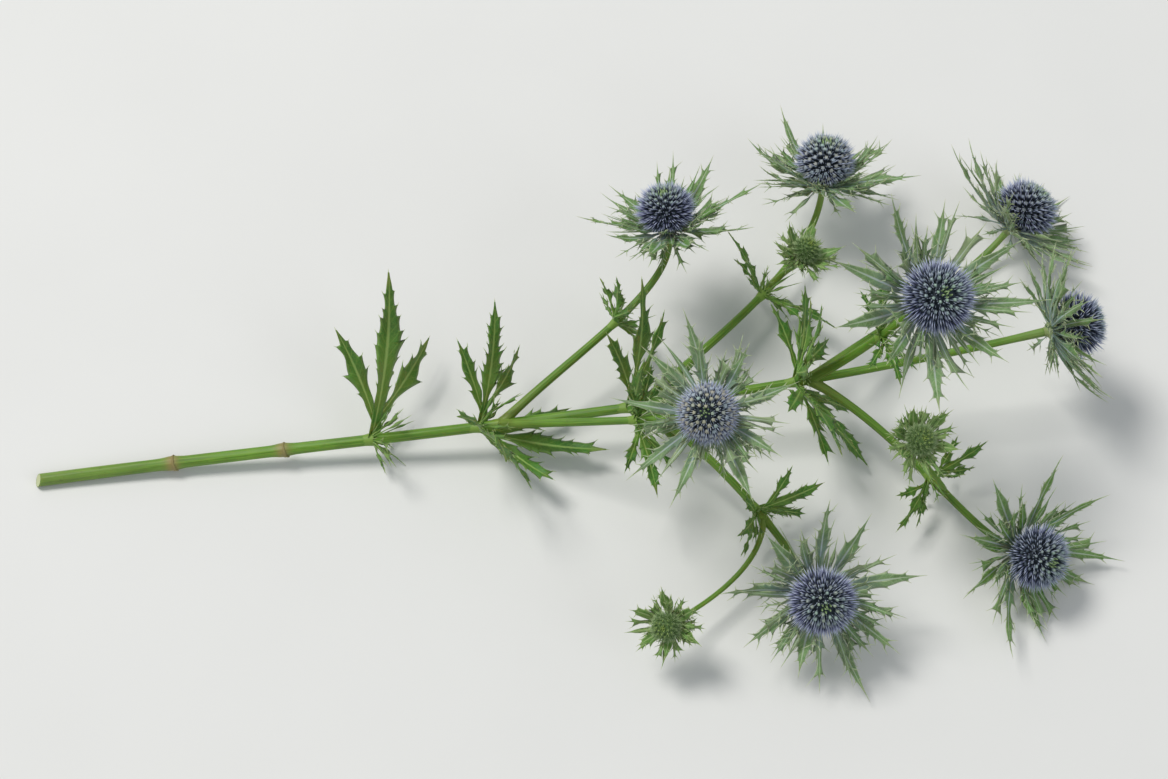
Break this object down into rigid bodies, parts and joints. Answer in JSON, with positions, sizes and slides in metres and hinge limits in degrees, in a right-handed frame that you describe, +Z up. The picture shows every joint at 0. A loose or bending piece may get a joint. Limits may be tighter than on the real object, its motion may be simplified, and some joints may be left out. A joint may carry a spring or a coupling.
{
  "type": "sea holly stem",
  "caption": "Cut branched stem laid on its side, with spiny blue globe flower heads in stars of toothed bracts, and lobed leaves at its nodes.",
  "frame": {"origin": "centre of the stem's footprint, on the surface it lies on", "axes": "+X along the stalk from the cut end to the top flower head, +Z up from the surface, +Y across"},
  "size_m": [0.556, 0.3249, 0.1678],
  "materials": {
    "stalk": "smooth, ribbed, fresh green",
    "leaves": "satin, veined green",
    "bracts": "matte grey-green with pale ribs",
    "florets": "matte steel blue, spiny",
    "bud_florets": "matte green, spiny"
  },
  "bodies": {
    "root": {"stalk": "stalk", "head_1": "florets", "head_2": "florets", "head_3": "florets", "head_4": "florets", "head_5": "florets", "head_6": "florets", "head_7": "florets", "head_8": "florets", "bracts_1": "bracts", "bracts_2": "bracts", "bracts_3": "bracts", "bracts_4": "bracts", "bracts_5": "bracts", "bracts_6": "bracts", "bracts_7": "bracts", "bracts_8": "bracts", "bud_1": "bud_florets", "bud_2": "bud_florets", "bud_3": "bud_florets", "bud_bracts_1": "bracts", "bud_bracts_2": "bracts", "bud_bracts_3": "bracts", "leaves_1": "leaves", "leaves_2": "leaves", "leaves_3": "leaves", "leaves_4": "leaves", "leaves_5": "leaves", "leaves_6": "leaves", "leaves_7": "leaves", "leaves_8": "leaves", "leaves_9": "leaves", "leaves_10": "leaves", "leaves_11": "leaves"}
  },
  "joints": []
}
